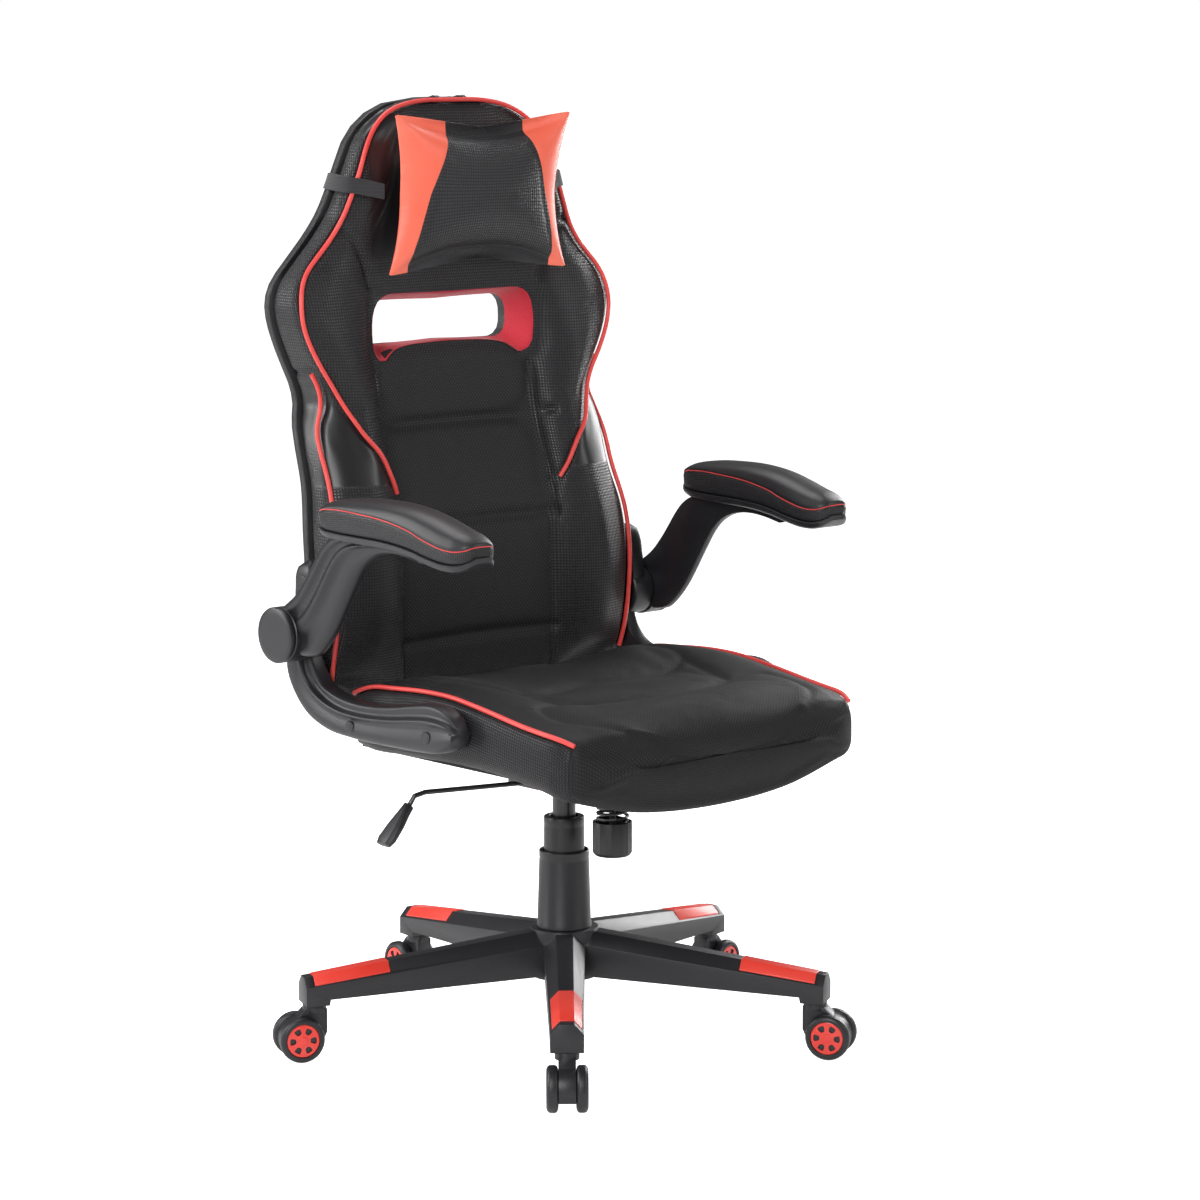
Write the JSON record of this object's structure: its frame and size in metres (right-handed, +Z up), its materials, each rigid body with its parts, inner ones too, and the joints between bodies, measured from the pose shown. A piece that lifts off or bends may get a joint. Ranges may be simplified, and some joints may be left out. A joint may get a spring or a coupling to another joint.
{
  "type": "gaming chair",
  "caption": "Racing-style swivel chair with a winged high back, a window under the headrest pillow, flip-up padded arms, lift and tilt, on a star base with casters.",
  "frame": {"origin": "on the floor under the centre of the chair's bounding box", "axes": "+Z up, the sitter faces -Y and the sitter's left is +X"},
  "size_m": [0.6874, 0.672, 1.117],
  "materials": {
    "black_leather": "black synthetic leather embossed with a fine check, satin",
    "black_fabric": "black woven cloth with fine pale dots, matt",
    "red_leather": "coral red synthetic leather, satin",
    "red_mesh": "crimson open mesh over foam, matt",
    "elastic_band": "black ribbed elastic, matt",
    "black_nylon": "black moulded nylon with a fine grain, satin",
    "red_plastic": "red moulded plastic, glossy",
    "black_steel": "black powder coat, semi-gloss",
    "bright_steel": "bright turned steel",
    "plywood": "bare plywood"
  },
  "bodies": {
    "base": {"base_star": "black_nylon", "leg_cap_1": "red_plastic", "leg_cap_2": "red_plastic", "leg_cap_3": "red_plastic", "leg_cap_4": "red_plastic", "leg_cap_5": "red_plastic", "column_tube": "black_steel", "cover_lower": "black_nylon"},
    "spindle": {"piston_rod": "bright_steel", "thrust_bearing": "bright_steel"},
    "lift": {"gas_cylinder": "black_steel", "tilt_housing": "black_steel", "tilt_pin": "bright_steel", "tension_spring": "black_steel"},
    "middle_cover": {"cover_middle": "black_nylon"},
    "seat": {"seat_plate": "black_steel", "seat_board": "plywood", "seat_cushion": "black_fabric", "side_bracket_left": "black_nylon", "side_bracket_right": "black_nylon", "back_cushion": "black_leather", "back_panel": "black_leather", "headrest_pillow": "red_leather", "headrest_strap": "elastic_band"},
    "knob": {"tension_knob": "black_nylon"},
    "lock_slider": {"lock_plate": "bright_steel"},
    "lever": {"lever_rod": "black_steel", "lever_paddle": "black_nylon"},
    "arm_rest_left": {"arm_left": "black_nylon", "arm_pad_left": "black_leather", "pivot_cap_left": "black_nylon"},
    "arm_rest_right": {"arm_right": "black_nylon", "arm_pad_right": "black_leather", "pivot_cap_right": "black_nylon"},
    "caster_1": {"caster_hood_1": "black_nylon", "caster_stem_1": "bright_steel"},
    "wheels_1": {"wheel_1_left": "black_nylon", "wheel_1_right": "black_nylon", "wheel_axle_1": "bright_steel"},
    "caster_2": {"caster_hood_2": "black_nylon", "caster_stem_2": "bright_steel"},
    "wheels_2": {"wheel_2_left": "black_nylon", "wheel_2_right": "black_nylon", "wheel_axle_2": "bright_steel"},
    "caster_3": {"caster_hood_3": "black_nylon", "caster_stem_3": "bright_steel"},
    "wheels_3": {"wheel_3_left": "black_nylon", "wheel_3_right": "black_nylon", "wheel_axle_3": "bright_steel"},
    "caster_4": {"caster_hood_4": "black_nylon", "caster_stem_4": "bright_steel"},
    "wheels_4": {"wheel_4_left": "black_nylon", "wheel_4_right": "black_nylon", "wheel_axle_4": "bright_steel"},
    "caster_5": {"caster_hood_5": "black_nylon", "caster_stem_5": "bright_steel"},
    "wheels_5": {"wheel_5_left": "black_nylon", "wheel_5_right": "black_nylon", "wheel_axle_5": "bright_steel"}
  },
  "joints": [
    {"name": "column_swivel", "type": "hinge", "parent": "base", "child": "spindle", "pos_m": [-0.0094, -0.0255, 0.1], "axis": [0, 0, 1], "continuous": true},
    {"name": "height", "type": "slide", "parent": "spindle", "child": "lift", "axis": [0, 0, 1], "range_m": [-0.03, 0.05]},
    {"name": "middle_cover_slide", "type": "slide", "parent": "base", "child": "middle_cover", "axis": [0, 0, 1], "range_m": [-0.015, 0.025]},
    {"name": "tilt", "type": "hinge", "parent": "lift", "child": "seat", "pos_m": [-0.0094, 0.0045, 0.3367], "axis": [-1, 0, 0], "range_deg": [0, 10], "stiffness_Nm_per_rad": 90, "springref_deg": -22.92, "deforming": ["tension_spring"]},
    {"name": "knob_turn", "type": "hinge", "parent": "seat", "child": "knob", "pos_m": [-0.0094, -0.1115, 0.25], "axis": [0, 0, 1], "continuous": true},
    {"name": "lock_pull", "type": "slide", "parent": "lift", "child": "lock_slider", "axis": [-1, 0, 0], "range_m": [0, 0.01]},
    {"name": "lever_lift", "type": "hinge", "parent": "lock_slider", "child": "lever", "pos_m": [-0.0379, -0.0255, 0.3175], "axis": [0, 1, 0], "range_deg": [0, 6], "stiffness_Nm_per_rad": 4, "springref_deg": -8.59},
    {"name": "arm_flip_left", "type": "hinge", "parent": "seat", "child": "arm_rest_left", "pos_m": [0.2871, 0.1395, 0.5], "axis": [-1, 0, 0], "range_deg": [0, 90]},
    {"name": "arm_flip_right", "type": "hinge", "parent": "seat", "child": "arm_rest_right", "pos_m": [-0.3059, 0.1395, 0.5], "axis": [-1, 0, 0], "range_deg": [0, 90]},
    {"name": "caster_1_swivel", "type": "hinge", "parent": "base", "child": "caster_1", "pos_m": [-0.21237, -0.25981, 0.06], "axis": [0, 0, 1], "continuous": true},
    {"name": "caster_2_swivel", "type": "hinge", "parent": "base", "child": "caster_2", "pos_m": [0.15073, -0.29094, 0.06], "axis": [0, 0, 1], "continuous": true},
    {"name": "caster_3_swivel", "type": "hinge", "parent": "base", "child": "caster_3", "pos_m": [0.29253, 0.04476, 0.06], "axis": [0, 0, 1], "continuous": true},
    {"name": "caster_4_swivel", "type": "hinge", "parent": "base", "child": "caster_4", "pos_m": [0.01708, 0.28337, 0.06], "axis": [0, 0, 1], "continuous": true},
    {"name": "caster_5_swivel", "type": "hinge", "parent": "base", "child": "caster_5", "pos_m": [-0.29497, 0.09513, 0.06], "axis": [0, 0, 1], "continuous": true},
    {"name": "wheels_1_roll", "type": "hinge", "parent": "caster_1", "child": "wheels_1", "pos_m": [-0.22514, -0.27455, 0.02677], "axis": [0.7559, -0.6547, 0], "continuous": true},
    {"name": "wheels_2_roll", "type": "hinge", "parent": "caster_2", "child": "wheels_2", "pos_m": [0.1608, -0.30764, 0.02677], "axis": [0.8563, 0.5165, 0], "continuous": true},
    {"name": "wheels_3_roll", "type": "hinge", "parent": "caster_3", "child": "wheels_3", "pos_m": [0.31153, 0.04918, 0.02677], "axis": [-0.2267, 0.974, 0], "continuous": true},
    {"name": "wheels_4_roll", "type": "hinge", "parent": "caster_4", "child": "wheels_4", "pos_m": [0.01874, 0.3028, 0.02677], "axis": [-0.9963, 0.0854, 0], "continuous": true},
    {"name": "wheels_5_roll", "type": "hinge", "parent": "caster_5", "child": "wheels_5", "pos_m": [-0.31293, 0.10272, 0.02677], "axis": [-0.3891, -0.9212, 0], "continuous": true}
  ],
  "couplings": [
    {"joint": "middle_cover_slide", "follows": "height", "ratio": 0.5}
  ]
}
